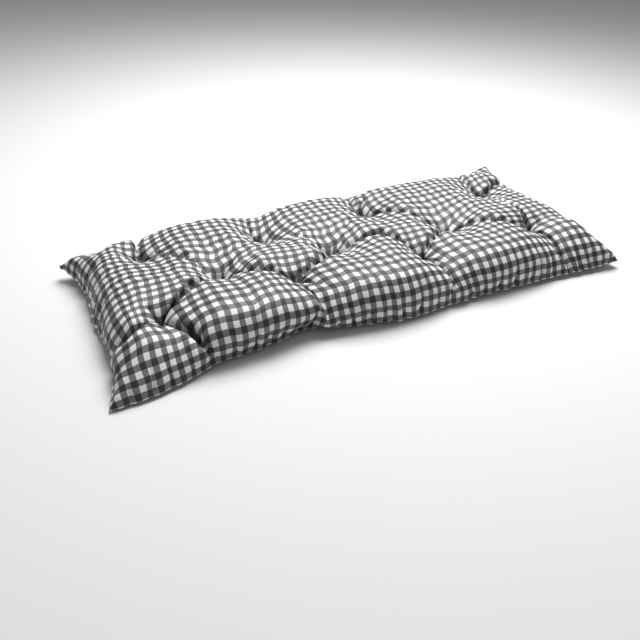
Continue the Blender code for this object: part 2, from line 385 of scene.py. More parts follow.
class CushionSettings(bpy.types.PropertyGroup):
    """Sizes of the cloth and how it swells."""

    ease_along: FloatProperty(
        name="Ease along",
        description="Cloth let out along the panel, as a share of its drawn length",
        default=1.04,
    )
    ease_across: FloatProperty(
        name="Ease across",
        description="Cloth let out across the panel, as a share of its drawn width",
        default=1.17,
    )
    right_ease: FloatProperty(
        name="Right ease",
        description="Cloth let out further at the right margin",
        default=0.022,
        unit="LENGTH",
    )
    front_ease: FloatProperty(
        name="Front ease",
        description="Cloth let out further at the front margin",
        default=0.008,
        unit="LENGTH",
    )
    back_ease: FloatProperty(
        name="Back ease",
        description="Cloth let out further at the back margin",
        default=0.022,
        unit="LENGTH",
    )
    tuft_top: FloatProperty(
        name="Tuft top",
        description="Height of the upper end of each stitch over the seat",
        default=0.046,
        unit="LENGTH",
    )
    tuft_bottom: FloatProperty(
        name="Tuft bottom",
        description="Height of the lower end of each stitch over the seat",
        default=0.013,
        unit="LENGTH",
    )
    filling_push: FloatProperty(
        name="Filling push",
        description="Pressure of the filling on the cloth, in pascals",
        default=60.0,
    )
    seam_hold: FloatProperty(
        name="Seam hold",
        description="How firmly the seam is held where it lies, from 0 to 1",
        default=0.3,
        min=0.0,
        max=1.0,
    )
    settle_frames: IntProperty(
        name="Settle frames",
        description="Frames that the cloth gets to come to rest",
        default=60,
    )
    bending: FloatProperty(
        name="Bending",
        description="Stiffness of the cloth against bending",
        default=5.0,
    )
    compression: FloatProperty(
        name="Compression",
        description="Stiffness of the cloth against being pushed together",
        default=0.2,
    )
    shear: FloatProperty(
        name="Shear",
        description="Stiffness of the cloth against shear",
        default=0.5,
    )
    crown: FloatProperty(
        name="Crown",
        description="Height of the pillows that the filling gives",
        default=0.102,
        unit="LENGTH",
    )
    hollow_radius: FloatProperty(
        name="Hollow radius",
        description="Radius of the hollow round each tuft",
        default=0.050,
        unit="LENGTH",
    )
    hollow_depth: FloatProperty(
        name="Hollow depth",
        description="Depth of the hollow round each tuft, as a share of the height there",
        default=0.36,
    )
    hollow_lean: FloatProperty(
        name="Hollow lean",
        description="How much further each hollow reaches towards the front than to the sides",
        default=1.7,
    )
    hollow_back: FloatProperty(
        name="Hollow back",
        description="How much further each hollow reaches towards the back than to the sides",
        default=1.3,
    )
    pit_depth: FloatProperty(
        name="Pit depth",
        description="Depth of the narrow pit in each hollow, as a share of the height there",
        default=0.14,
    )
    pit_radius: FloatProperty(
        name="Pit radius",
        description="Radius of the narrow pit in each hollow",
        default=0.014,
        unit="LENGTH",
    )
    valley_width: FloatProperty(
        name="Valley width",
        description="Width of the valleys between pillows, as a share of the table's",
        default=0.65,
    )
    back_radius: FloatProperty(
        name="Back radius",
        description="Radius of the rounding above the back seam",
        default=0.085,
        unit="LENGTH",
    )
    front_radius: FloatProperty(
        name="Front radius",
        description="Radius of the rounding above the front seam",
        default=0.115,
        unit="LENGTH",
    )
    left_radius: FloatProperty(
        name="Left radius",
        description="Radius of the rounding above the left seam",
        default=0.135,
        unit="LENGTH",
    )
    right_radius: FloatProperty(
        name="Right radius",
        description="Radius of the rounding above the right seam",
        default=0.105,
        unit="LENGTH",
    )
    front_belly: FloatProperty(
        name="Front belly",
        description="How far the front face is pushed out over the seam",
        default=0.015,
        unit="LENGTH",
    )
    fold_share: FloatProperty(
        name="Fold share",
        description="Depth of the sharp folds, as a share of the table's",
        default=1.3,
    )
    crumple: FloatProperty(
        name="Crumple",
        description="Spread of the slight crumples in height",
        default=0.0006,
        unit="LENGTH",
    )
    drift: FloatProperty(
        name="Drift",
        description="Spread of the cloth's slight drift in its own plane",
        default=0.0009,
        unit="LENGTH",
    )
    keep_settled: FloatProperty(
        name="Keep settled",
        description="Share of the settled cloth's own height that is kept away from the seam",
        default=0.10,
    )
    plan_steps: FloatProperty(
        name="Plan steps",
        description="Steps of the finer grid over which the settled cloth's place in plan is evened out",
        default=12.0,
    )
    steps_along: IntProperty(
        name="Steps along",
        description="Steps of the panel along its length while it settles",
        default=160,
    )
    steps_across: IntProperty(
        name="Steps across",
        description="Steps of the panel across its width while it settles",
        default=68,
    )


class GinghamSettings(bpy.types.PropertyGroup):
    """Colours and scale of the cloth."""

    repeats_along: FloatProperty(
        name="Repeats along",
        description="Pairs of a dark and a white stripe along the panel",
        default=56.0,
    )
    repeats_across: FloatProperty(
        name="Repeats across",
        description="Pairs of a dark and a white stripe across the panel",
        default=25.0,
    )
    white: FloatVectorProperty(
        name="White",
        description="Colour where white threads cross white threads",
        default=(0.80, 0.80, 0.80, 1.0),
        size=4,
        subtype="COLOR",
    )
    grey: FloatVectorProperty(
        name="Grey",
        description="Colour where dark threads cross white threads",
        default=(0.165, 0.165, 0.169, 1.0),
        size=4,
        subtype="COLOR",
    )
    charcoal: FloatVectorProperty(
        name="Charcoal",
        description="Colour where dark threads cross dark threads",
        default=(0.022, 0.022, 0.024, 1.0),
        size=4,
        subtype="COLOR",
    )
    roughness: FloatProperty(
        name="Roughness",
        description="Roughness of the cotton",
        default=0.55,
    )
    gloss: FloatProperty(
        name="Gloss",
        description="Specular level of the cotton",
        default=0.5,
    )
    sheen: FloatProperty(
        name="Sheen",
        description="Weight of the sheen that the cotton's fine hairs give",
        default=0.05,
    )
    # Painted shade: the share of the colour taken away in deep folds and behind the tufts
    crease_shade: FloatProperty(
        name="Crease shade",
        description="Share of the colour that is lost where the cloth closes on itself in a fold",
        default=0.7,
    )
    yarn_pitch: FloatProperty(
        name="Yarn pitch",
        description="Distance from one yarn to the next",
        default=0.0006,
        unit="LENGTH",
    )


class StageSettings(bpy.types.PropertyGroup):
    """Floor, light and camera."""

    floor_colour: FloatVectorProperty(
        name="Floor",
        description="Colour of the floor",
        default=(0.74, 0.74, 0.73, 1.0),
        size=4,
        subtype="COLOR",
    )
    key_power: FloatProperty(
        name="Key power",
        description="Power of the large soft light behind the cushion",
        default=85.0,
        unit="POWER",
    )
    key_place: FloatVectorProperty(
        name="Key place",
        description="Where the large soft light stands",
        default=(0.55, 0.75, 2.1),
        subtype="TRANSLATION",
    )
    key_size: FloatProperty(
        name="Key size",
        description="Side of the large soft light",
        default=1.5,
        unit="LENGTH",
    )
    fill_strength: FloatProperty(
        name="Fill strength",
        description="Strength of the light that comes from all round",
        default=0.25,
    )
    lens: FloatProperty(
        name="Lens",
        description="Focal length on a sensor 36 mm wide, in millimetres",
        default=38.06,
    )
    camera_place: FloatVectorProperty(
        name="Camera place",
        description="Where the camera stands",
        default=(-0.656, -1.163, 0.754),
        subtype="TRANSLATION",
    )
    camera_turn: FloatVectorProperty(
        name="Camera turn",
        description="Yaw to the right, pitch down and roll, in degrees",
        default=(27.12, 33.66, 0.94),
    )


# Cloth ------------------------------------------------------------------------------------------------


def along_side(rows, axis, share):
    """Points of one side of the seam at shares of its length, straight between the rows of its table."""
    rows = np.array(rows)
    place = (rows[:, axis] - rows[0, axis]) / (rows[-1, axis] - rows[0, axis])
    return np.stack([np.interp(share, place, rows[:, k]) for k in range(3)], axis=-1)


def ruffle(side, share, outward, length):
    """Small waves of a seam, out of the side and up: sin(2 pi s / 34 mm + 1.3 sin(2 pi s / 190 mm)).

    They are 2.2 mm (0.6 + 0.4 sin(2 pi s / 270 mm + 0.8)) high, and fade out at the corners.
    """
    run = share * length
    wave = np.sin(2 * np.pi * run / RUFFLE + 1.3 * np.sin(2 * np.pi * run / RUFFLE_BUNCH))
    growth = 0.6 + 0.4 * np.sin(2 * np.pi * run / RUFFLE_GROWTH + 0.8)
    swell = RUFFLE_HEIGHT * growth * np.sin(np.pi * share) ** 0.5
    side = side.copy()
    side[:, outward] += swell * wave
    side[:, 2] += 0.5 * swell * (1 + wave)
    return side


def seam_sides(share_along, share_across):
    """The four sides of the seam with their ruffles; they meet at the corners."""
    front = ruffle(along_side(FRONT_SEAM, 0, share_along), share_along, 1, PANEL_LENGTH)
    back = ruffle(along_side(BACK_SEAM, 0, share_along), share_along, 1, PANEL_LENGTH)
    left = ruffle(along_side(LEFT_SEAM, 1, share_across), share_across, 0, PANEL_WIDTH)
    right = ruffle(along_side(RIGHT_SEAM, 1, share_across), share_across, 0, PANEL_WIDTH)
    return front, back, left, right


def middle_layer(share_along, share_across):
    """Layer spanned by the seam: both straight spans between opposite sides, less the corners' span."""
    front, back, left, right = seam_sides(share_along, share_across)
    a = share_along[:, None, None]
    c = share_across[None, :, None]
    across_span = front[:, None] * (1 - c) + back[:, None] * c
    along_span = left[None] * (1 - a) + right[None] * a
    front_corners = (1 - a) * (1 - c) * front[0] + a * (1 - c) * front[-1]
    return across_span + along_span - (front_corners + (1 - a) * c * back[0] + a * c * back[-1])


def off_line(along, across, start, end):
    """Share run along a line, held from 0 to 1, and distance from that place on it."""
    start = np.array(start)
    run = np.array(end) - start
    share = np.clip(((along - start[0]) * run[0] + (across - start[1]) * run[1]) / (run @ run), 0.0, 1.0)
    return share, np.hypot(along - start[0] - share * run[0], across - start[1] - share * run[1])


def tuft_steps(shape):
    """Grid steps nearest to each tuft's place on the flat panel."""
    table = np.array(list(TUFTS.values()))
    i = np.rint(table[:, 0] / PANEL_LENGTH * (shape[0] - 1)).astype(int)
    j = np.rint(table[:, 1] / PANEL_WIDTH * (shape[1] - 1)).astype(int)
    return i, j, table[:, 2:]


def placed_panels(settings, along, across):
    """Top and underside as laid: the middle layer, drawn to the tufts, plus and minus a pillow height.

    The height is sin(a) sin(b) times 1 - exp(-(r / 46 mm)^1.2) for each tuft, where a and b climb from 0
    at the seam to a quarter turn 90 mm inside it and r is the distance to the tuft on the flat panel.
    At u off a valley the top sinks to the valley's floor, a curve through its three heights, by
    exp(-(u / 22 mm)^1.2).
    """
    middle = middle_layer(along[:, 0] / PANEL_LENGTH, across[0] / PANEL_WIDTH)
    i, j, places = tuft_steps(along.shape)
    for step_along, step_across, place in zip(i, j, places):
        away = np.hypot(along - along[step_along, 0], across - across[0, step_across])
        shift = place - middle[step_along, step_across, :2]
        middle[..., :2] += np.exp(-((away / TUFT_DRAW) ** 2))[..., None] * shift
    edge_along = np.minimum(along, PANEL_LENGTH - along)
    edge_across = np.minimum(across, PANEL_WIDTH - across)
    rim = np.sin(np.clip(edge_along / LAID_RIM, 0, 1) * np.pi / 2)
    rim = rim * np.sin(np.clip(edge_across / LAID_RIM, 0, 1) * np.pi / 2)
    height = rim.copy()
    for place_along, place_across, _, _ in TUFTS.values():
        away = np.hypot(along - place_along, across - place_across)
        height *= 1 - np.exp(-((away / LAID_HOLLOW) ** LAID_POWER))
    half_up = settings.tuft_top * rim + middle[..., 2] * (1 - rim)
    half_down = settings.tuft_bottom * rim + middle[..., 2] * (1 - rim)
    top = np.dstack((middle[..., :2], half_up + LAID_CROWN * height))
    for tuft, far_along, far_across, middle_height, end_height, _ in LAID_VALLEYS:
        share, away = off_line(along, across, TUFTS[tuft][:2], (far_along, far_across))
        floor = settings.tuft_top * (1 - share) + end_height * share
        floor = floor + 4 * share * (1 - share) * (middle_height - (settings.tuft_top + end_height) / 2)
        top[..., 2] = floor + (top[..., 2] - floor) * (1 - np.exp(-((away / LAID_VALLEY) ** LAID_POWER)))
    underside = np.dstack((middle[..., :2], np.maximum(half_down - LAID_DROP * height, LOWEST)))
    top[i, j] = np.column_stack((places, np.full(len(i), settings.tuft_top)))
    underside[i, j] = np.column_stack((places, np.full(len(i), settings.tuft_bottom)))
    return top, underside


def panel_numbers(shape):
    """Point numbers of both panels as grids. They share the border, which is the seam."""
    top = np.arange(shape[0] * shape[1]).reshape(shape)
    inner = np.zeros(shape, bool)
    inner[1:-1, 1:-1] = True
    underside = top.copy()
    underside[inner] = top.size + np.arange(inner.sum())
    return top, underside, inner


def panel_faces(top, underside):
    """Four-sided faces of both panels, the underside's turned over so that all look outwards."""
    both = []
    for grid in (top, underside):
        corners = (grid[:-1, :-1], grid[1:, :-1], grid[1:, 1:], grid[:-1, 1:])
        both.append(np.stack(corners, axis=-1).reshape(-1, 4))
    return np.vstack((both[0], both[1][:, ::-1]))


def closed_mesh(name, top_points, underside_points):
    """A closed mesh of the two panels."""
    top, underside, inner = panel_numbers(top_points.shape[:2])
    points = np.vstack((top_points.reshape(-1, 3), underside_points[inner]))
    mesh = bpy.data.meshes.new(name)
    mesh.from_pydata(points.tolist(), [], panel_faces(top, underside).tolist())
    mesh.update()
    return mesh


def lay_flat(settings, along, across):
    """Both panels flat on each other, at the cloth's full measure; their lengths are what the cloth keeps.

    The front, back and right margins are let out further, so that they stand up fuller.
    """
    right = np.clip((along - RIGHT_MARGIN[0]) / RIGHT_MARGIN[1], 0, 1)
    back = np.clip((across - BACK_MARGIN[0]) / BACK_MARGIN[1], 0, 1)
    front = np.clip((FRONT_MARGIN - across) / FRONT_MARGIN, 0, 1)
    x = (along - PANEL_LENGTH / 2) * settings.ease_along + settings.right_ease * right
    y = (across - PANEL_WIDTH / 2) * settings.ease_across
    y += settings.back_ease * back - settings.front_ease * front
    return np.dstack((x, y, np.full_like(x, FLAT_TOP))), np.dstack((x, y, np.full_like(x, FLAT_UNDERSIDE)))


def hold_weights(settings, shape):
    """How firmly points are held: tufts and corner tips fast, seam and valleys softly, the rest free.

    A valley holds the points within 0.6 of a step of its line.
    """
    top, underside, inner = panel_numbers(shape)
    hold = [(list(range(top.size + int(inner.sum()))), 0.0), (top[~inner].tolist(), settings.seam_hold)]
    for end, step in ((0, 1), (-1, -1)):
        for far, reach in ((0, 1), (-1, -1)):
            hold.append(([int(top[end + step, far]), int(top[end, far + reach])], CORNER_HOLD))
            hold.append(([int(top[end, far])], 1.0))
    along, across = flat_grid(shape[0] - 1, shape[1] - 1)
    for tuft, far_along, far_across, _, _, weight in LAID_VALLEYS:
        _, away = off_line(along, across, TUFTS[tuft][:2], (far_along, far_across))
        near = away < 0.6 * along[1, 0]
        hold.append((top[near & inner].tolist(), weight))
    i, j, _ = tuft_steps(shape)
    hold.append((top[i, j].tolist() + underside[i, j].tolist(), 1.0))
    return hold


def key_values(owner, path, frames):
    """Sets a value at each frame."""
    for number, value in frames:
        setattr(owner, path, value)
        owner.keyframe_insert(path, frame=number)


def run_cloth(settings, flat, placed, hold):
    """Runs the cloth from its laid place to rest, and returns the top panel's points as a grid.

    The cloth's own lengths are the flat panels'. A shape key carries it to its laid place by frame 2 with
    every point held, and by frame 5 each point is held only as firmly as its weight says.
    """
    top, _, inner = panel_numbers(flat[0].shape[:2])
    mesh = closed_mesh("cushion_cloth", *flat)
    cushion = bpy.data.objects.new("cushion_cloth", mesh)
    bpy.context.scene.collection.objects.link(cushion)
    cushion.shape_key_add(name="Basis")
    laid = cushion.shape_key_add(name="laid")
    laid.data.foreach_set("co", np.vstack((placed[0].reshape(-1, 3), placed[1][inner])).ravel())
    key_values(laid, "value", ((1, 0.0), (LAID_FRAME, 1.0)))
    pin = cushion.vertex_groups.new(name="pin")
    pin.add(list(range(len(mesh.vertices))), 1.0, "REPLACE")
    group = cushion.vertex_groups.new(name="hold")
    for numbers, weight in hold:
        group.add(numbers, weight, "REPLACE")
    let_go = cushion.modifiers.new("let_go", "VERTEX_WEIGHT_MIX")
    let_go.vertex_group_a = "pin"
    let_go.vertex_group_b = "hold"
    let_go.mix_mode = "SET"
    let_go.mix_set = "ALL"
    key_values(let_go, "mask_constant", ((1, 0.0), (FREE_FRAME - 1, 0.0), (FREE_FRAME, 1.0)))
    cloth_values(cushion.modifiers.new("cloth", "CLOTH"), settings)
    seat = seat_plane()
    bpy.context.scene.frame_start = 1
    bpy.context.scene.frame_end = settings.settle_frames
    for number in range(1, settings.settle_frames + 1):
        bpy.context.scene.frame_set(number)
    settled = evaluated_points(cushion)
    bpy.context.scene.frame_set(1)
    bpy.data.objects.remove(seat)
    bpy.data.objects.remove(cushion)
    return settled[top]


def settle_cloth(settings):
    """Lays the panels and lets them swell, then halves the steps of the top panel."""
    along, across = flat_grid(settings.steps_along, settings.steps_across)
    panels = placed_panels(settings, along, across)
    top = panels[0]
    flat = lay_flat(settings, along, across)
    top = run_cloth(settings, flat, panels, hold_weights(settings, along.shape))
    along, across = flat_grid(2 * settings.steps_along, 2 * settings.steps_across)
    return along, across, refine(top)


def cloth_values(cloth, settings):
    """Light cotton that keeps its length, pushed outwards evenly and not pulled down."""
    values = cloth.settings
    values.quality = 6
    values.mass = 0.3
    values.tension_stiffness = 15
    values.compression_stiffness = settings.compression
    values.shear_stiffness = settings.shear
    values.bending_stiffness = settings.bending
    values.tension_damping = 5
    values.compression_damping = 5
    values.shear_damping = 5
    values.bending_damping = 0.5
    values.air_damping = 5
    values.use_pressure = True
    values.uniform_pressure_force = settings.filling_push
    values.vertex_group_mass = "pin"
    values.pin_stiffness = 10
    values.effector_weights.gravity = 0
    cloth.collision_settings.use_collision = True
    cloth.collision_settings.use_self_collision = False
    cloth.collision_settings.distance_min = 0.002
    cloth.collision_settings.collision_quality = 1
    cloth.point_cache.frame_start = 1
    cloth.point_cache.frame_end = settings.settle_frames


def square(half, height):
    """Corners of a level square about the origin."""
    return [(-half, -half, height), (half, -half, height), (half, half, height), (-half, half, height)]


def seat_plane():
    """The seat that the cushion lies on while it settles."""
    mesh = bpy.data.meshes.new("seat")
    mesh.from_pydata(square(SEAT_HALF, SEAT_Z), [], [(0, 1, 2, 3)])
    seat = bpy.data.objects.new("seat", mesh)
    bpy.context.scene.collection.objects.link(seat)
    seat.modifiers.new("collision", "COLLISION")
    seat.collision.thickness_outer = 0.001
    seat.collision.cloth_friction = 5
    return seat


def evaluated_points(item):
    """Points of an object with its modifiers, as an array."""
    made = item.evaluated_get(bpy.context.evaluated_depsgraph_get())
    mesh = made.to_mesh()
    points = np.empty(len(mesh.vertices) * 3)
    mesh.vertices.foreach_get("co", points)
    made.to_mesh_clear()
    return points.reshape(-1, 3)


# Hollows and valleys ----------------------------------------------------------------------------------


def smooth_grid(field, steps):
    """A grid of vectors averaged with its neighbours both ways, weights exp(-(k / steps)^2 / 2)."""
    reach = int(3 * steps)
    weights = np.exp(-((np.arange(-reach, reach + 1) / steps) ** 2) / 2)
    weights /= weights.sum()
    for axis in (0, 1):
        size = field.shape[axis]
        widened = np.take(field, np.clip(np.arange(-reach, size + reach), 0, size - 1), axis=axis)
        windows = np.lib.stride_tricks.sliding_window_view(widened, 2 * reach + 1, axis=axis)
        field = windows @ weights
    return field


def pillow_height(settings, along, across):
    """Height that the filling gives: from the seam's up to the crown times 1 - p - q.

    It rises by sqrt(1 - (1 - e / R)^2) at e inside each side. p joins the tufts' hollows
    d exp(-(r / R)^1.4), drawn out towards the front and the back, and the valleys' d exp(-(u / h)^1.1) as
    the sixth root of the sum of their sixth powers. q is the narrow pit d exp(-(r / R)^1.5) in each hollow.
    """
    total = np.zeros_like(along)
    pits = np.zeros_like(along)
    for place_along, place_across, _, _ in TUFTS.values():
        behind = across - place_across
        reach = np.where(behind > 0, settings.hollow_back, settings.hollow_lean)
        away = np.hypot(along - place_along, behind / reach)
        total += (settings.hollow_depth * np.exp(-((away / settings.hollow_radius) ** 1.4))) ** 6
        near = np.hypot(along - place_along, behind)
        pits = np.maximum(pits, settings.pit_depth * np.exp(-((near / settings.pit_radius) ** 1.5)))
    for start, end, first, midway, last, half_width in PILLOW_VALLEYS:
        share, away = off_line(along, across, on_panel(start), on_panel(end))
        deep = np.interp(share, (0.0, 0.3, 0.7, 1.0), (first, midway, midway, last))
        total += (deep * np.exp(-((away / (half_width * settings.valley_width)) ** 1.1))) ** 6
    rim = np.ones_like(along)
    for edge, radius in (
        (along, settings.left_radius),
        (PANEL_LENGTH - along, settings.right_radius),
        (across, settings.front_radius),
        (PANEL_WIDTH - across, settings.back_radius),
    ):
        rim *= np.sqrt(1 - (1 - np.clip(edge / radius, 0, 1)) ** 2)
    seam_height = middle_layer(along[:, 0] / PANEL_LENGTH, across[0] / PANEL_WIDTH)[..., 2]
    return seam_height * (1 - rim) + settings.crown * rim * (1 - total ** (1 / 6) - pits)


def seat_seam(along, across, top):
    """Puts the seam back where it lies, and draws the cloth along with it: (1 + e / w) exp(-e / w) at e."""
    sides = seam_sides(along[:, 0] / PANEL_LENGTH, across[0] / PANEL_WIDTH)
    edges = (across, PANEL_WIDTH - across, along, PANEL_LENGTH - along)
    seams = (top[:, 0], top[:, -1], top[0], top[-1])
    shift = np.zeros_like(top)
    for number, (side, seam, edge) in enumerate(zip(sides, seams, edges)):
        amount = (side - seam)[:, None] if number < 2 else (side - seam)[None]
        shift += amount * ((1 + edge / SEAM_DRAW) * np.exp(-edge / SEAM_DRAW))[..., None]
    return top + shift


def fill_out(settings, along, across, top):
    """Evens the settled top panel out to the filling's height, away from the seam.

    Loose fibre holds its form between the tufts, where even pressure alone would sink into long valleys.
    The front face is pushed out by a belly of sin(pi b / 130 mm)^1.5 at b from the seam.
    """
    inner = np.ones_like(along)
    # Distance from the seam where the evening starts, and over which it takes hold
    for edge, start, reach in (
        (along, 0.020, 0.060),
        (PANEL_LENGTH - along, 0.015, 0.060),
        (across, 0.030, 0.070),
        (PANEL_WIDTH - across, 0.010, 0.045),
    ):
        share = np.clip((edge - start) / reach, 0, 1)
        inner *= share * share * (3 - 2 * share)
    inner = inner[..., None]
    plan = placed_panels(settings, along, across)[0][..., :2]
    moved = top[..., :2] - plan
    even = plan + moved + (smooth_grid(moved, settings.plan_steps) - moved) * inner
    belly = np.sin(np.pi * np.clip(across / BELLY_REACH, 0, 1)) ** 1.5
    belly = belly * np.sin(np.pi * np.clip(along / PANEL_LENGTH, 0, 1)) ** 0.3
    even[..., 1] -= settings.front_belly * belly
    even[..., 1] -= 0.5 * np.maximum(even[..., 1] - BACK_LIMIT, 0.0)
    height = pillow_height(settings, along, across)[..., None]
    keep = 1 - (1 - settings.keep_settled) * inner
    return np.concatenate((even, height + (top[..., 2:] - height) * keep), axis=-1)


# Finer cloth ------------------------------------------------------------------------------------------


def halve_steps(grid):
    """Twice as many steps along the first axis; new points are (-a + 9 b + 9 c - d) / 16 of four."""
    before = 2 * grid[:1] - grid[1:2]
    after = 2 * grid[-1:] - grid[-2:-1]
    padded = np.concatenate((before, grid, after))
    between = (9 * (padded[1:-2] + padded[2:-1]) - padded[:-3] - padded[3:]) / 16
    finer = np.empty((2 * len(grid) - 1,) + grid.shape[1:])
    finer[0::2] = grid
    finer[1::2] = between
    return finer


def refine(grid):
    """Halves the steps of a grid both ways."""
    return np.swapaxes(halve_steps(np.swapaxes(halve_steps(grid), 0, 1)), 0, 1)


def upward(points):
    """Unit normals of a grid of points: the cross product of its two slopes."""
    normal = np.cross(np.gradient(points, axis=0), np.gradient(points, axis=1))
    return normal / (np.linalg.norm(normal, axis=-1, keepdims=True) + 1e-12)


def press_folds(along, across):
    """Depth of the sharp folds and the pull of the cloth towards them, as fields on the flat panel.

    Depth is d (1 - w)^0.8 exp(-u / h) at u off the line and w along it, with a swell of a fifth of it on
    both sides; the cloth is drawn to the line by 0.55 u exp(-(u / 2.4 h)^2).
    """
    depth = np.zeros_like(along)
    pull = np.zeros(along.shape + (2,))
    for start, end, deep, half_width in FOLDS:
        start, end = on_panel(start), on_panel(end)
        share, away = off_line(along, across, start, end)
        fade = (1 - share) ** 0.8
        swell = 0.2 * np.exp(-(((away - 2.6 * half_width) / (1.6 * half_width)) ** 2))
        depth = np.maximum(depth, deep * fade * np.exp(-away / half_width))
        depth = depth - deep * fade * swell * (share > 0)
        near = (0.55 * fade * np.exp(-((away / (2.4 * half_width)) ** 2)))[..., None]
        off = np.stack((along - start[0], across - start[1]), axis=-1)
        off -= share[..., None] * (end[0] - start[0], end[1] - start[1])
        pull -= near * off
    return depth, pull


def press_tufts(along, across):
    """Depth and pull at the tufts: a small pit, and puckers a cos(9 t + s) (r / q) exp(1 - r / q) round it.

    The pit is d exp(-r / p), and the cloth is drawn to the tuft by 0.35 r exp(-(r / 16 mm)^2).
    """
    depth = np.zeros_like(along)
    pull = np.zeros(along.shape + (2,))
    for number, (place_along, place_across, _, _) in enumerate(TUFTS.values()):
        off = np.stack((along - place_along, across - place_across), axis=-1)
        away = np.hypot(off[..., 0], off[..., 1])
        turn = np.arctan2(off[..., 1], off[..., 0])
        depth += STITCH_PIT[0] * np.exp(-away / STITCH_PIT[1])
        puckers = PUCKERS[0] * np.cos(9 * turn + 1.7 * number)
        depth += puckers * (away / PUCKERS[1]) * np.exp(1 - away / PUCKERS[1])
        pull -= off * (TUFT_PULL[0] * np.exp(-((away / TUFT_PULL[1]) ** 2)))[..., None]
    return depth, pull


def small_creases(along, across, seed, shortest, longest):
    """Slight crumples of worn cotton: forty crossed waves with seeded lengths and turns, of unit spread."""
    chance = np.random.default_rng(seed)
    height = np.zeros_like(along)
    for length in chance.uniform(shortest, longest, 40):
        turn = chance.uniform(0.0, np.pi)
        shift = chance.uniform(0.0, 2 * np.pi)
        run = along * np.cos(turn) + across * np.sin(turn)
        height += length * np.sin(2 * np.pi * run / length + shift)
    return height / height.std()


def press_top(settings, top, along, across):
    """Presses folds, pits, puckers and slight crumples into the top panel; the seam itself stays."""
    edge = np.minimum(np.minimum(along, PANEL_LENGTH - along), np.minimum(across, PANEL_WIDTH - across))
    off_seam = 1 - np.exp(-((edge / PRESS_END) ** 2))
    fold, fold_pull = press_folds(along, across)
    pit, pit_pull = press_tufts(along, across)
    crumple = settings.crumple * small_creases(along, across, 5, *CRUMPLE_SPAN)
    drift = np.stack([small_creases(along, across, seed, *DRIFT_SPAN) for seed in (6, 7)], axis=-1)
    pull = fold_pull + pit_pull + settings.drift * drift
    pull = pull * (1 - np.exp(-((edge / PULL_END) ** 2)))[..., None]
    slope_along = np.gradient(top, along[1, 0], axis=0)
    slope_across = np.gradient(top, across[0, 1], axis=1)
    moved = top + slope_along * pull[..., :1] + slope_across * pull[..., 1:]
    moved -= upward(top) * ((settings.fold_share * fold + pit + crumple) * off_seam)[..., None]
    moved[..., 2] = np.maximum(moved[..., 2], SEAT_Z + TOP_GAP)
    moved[0], moved[-1], moved[:, 0], moved[:, -1] = top[0], top[-1], top[:, 0], top[:, -1]
    return moved


def lay_underside(settings, top, along, across):
    """The underside lies flat on the seat, drawn up at the tufts, and rises to the seam round its rim.

    Its height is the tuft's lower end by exp(-(r / 20 mm)^1.3), with eight soft spokes, at r from a tuft,
    and the seam's height by exp(-(e / 14 mm)^2) at e from the seam.
    """
    plan = placed_panels(settings, along, across)[1][..., :2]
    edge = np.minimum(np.minimum(along, PANEL_LENGTH - along), np.minimum(across, PANEL_WIDTH - across))
    rise = np.zeros_like(along)
    for number, (place_along, place_across, _, _) in enumerate(TUFTS.values()):
        off_along, off_across = along - place_along, across - place_across
        away = np.hypot(off_along, off_across)
        turn = np.arctan2(off_across, off_along)
        spokes = 1 + 0.35 * np.cos(8 * turn + number) * np.clip(away / STITCH_RISE, 0, 1)
        rise = np.maximum(rise, settings.tuft_bottom * spokes * np.exp(-((away / STITCH_RISE) ** 1.3)))
    crumple = UNDER_CRUMPLE * np.maximum(small_creases(along, across, 8, *UNDER_SPAN), 0.0)
    seam_height = middle_layer(along[:, 0] / PANEL_LENGTH, across[0] / PANEL_WIDTH)[..., 2]
    rim = np.exp(-((edge / SEAM_RISE) ** 2))
    height = np.maximum(seam_height * rim, rise + crumple) + SEAT_Z + SEAT_GAP
    underside = np.dstack((plan, height))
    underside[0], underside[-1] = top[0], top[-1]
    underside[:, 0], underside[:, -1] = top[:, 0], top[:, -1]
    return underside


def lay_uv(mesh, settings, along, across):
    """UV map of the flat panel in metres, with its let-out margins, the same on both panels."""
    inner = panel_numbers(along.shape)[2]
    cut = lay_flat(settings, along, across)[0][..., :2] / (settings.ease_along, settings.ease_across)
    flat = np.vstack((cut.reshape(-1, 2), cut[inner]))
    corners = np.empty(len(mesh.loops), int)
    mesh.loops.foreach_get("vertex_index", corners)
    layer = mesh.uv_layers.new(name="panel")
    layer.uv.foreach_set("vector", flat[corners].ravel())


def paint_crease_shade(mesh, along, across):
    """Painted shade, 0 to 1, as a point attribute where the cloth closes on itself: the deeper folds' lines,
    and the tufts.

    It is ((d - 6 mm) / 10 mm) (1 - w)^0.5 exp(-(u / 3.5 mm)^2) at u off a fold's line and w along it, and
    exp(-(r / 12 mm)^2) at r from 11 mm behind a tuft, or 20 mm in the middle row, where the front pillows
    hide more.
    """
    inner = panel_numbers(along.shape)[2]
    painted_shade = np.zeros_like(along)
    # Painted shade along the deeper folds
    for start, end, deep, _ in FOLDS:
        share, away = off_line(along, across, on_panel(start), on_panel(end))
        depth = min(max((deep - DARK_FROM) / DARK_OVER, 0.0), 1.0)
        painted_shade = np.maximum(painted_shade, depth * (1 - share) ** 0.5 * np.exp(-((away / DARK_WIDTH) ** 2)))
    # Painted shade in each tuft's hollow, just behind the stitch
    for name, (place_along, place_across, _, _) in TUFTS.items():
        behind = DARK_BEHIND_MIDDLE if name.startswith("middle") else DARK_BEHIND
        away = np.hypot(along - place_along, across - place_across - behind)
        painted_shade = np.maximum(painted_shade, np.exp(-((away / DARK_RADIUS) ** 2)))
    layer = mesh.attributes.new("painted_shade_mask", "FLOAT", "POINT")
    layer.data.foreach_set("value", np.concatenate((painted_shade.ravel(), np.zeros(inner.sum()))))


def flat_grid(steps_along, steps_across):
    """Places of a grid on the flat panel."""
    return np.meshgrid(
        np.linspace(0, PANEL_LENGTH, steps_along + 1),
        np.linspace(0, PANEL_WIDTH, steps_across + 1),
        indexing="ij",
    )


# Stitches ---------------------------------------------------------------------------------------------


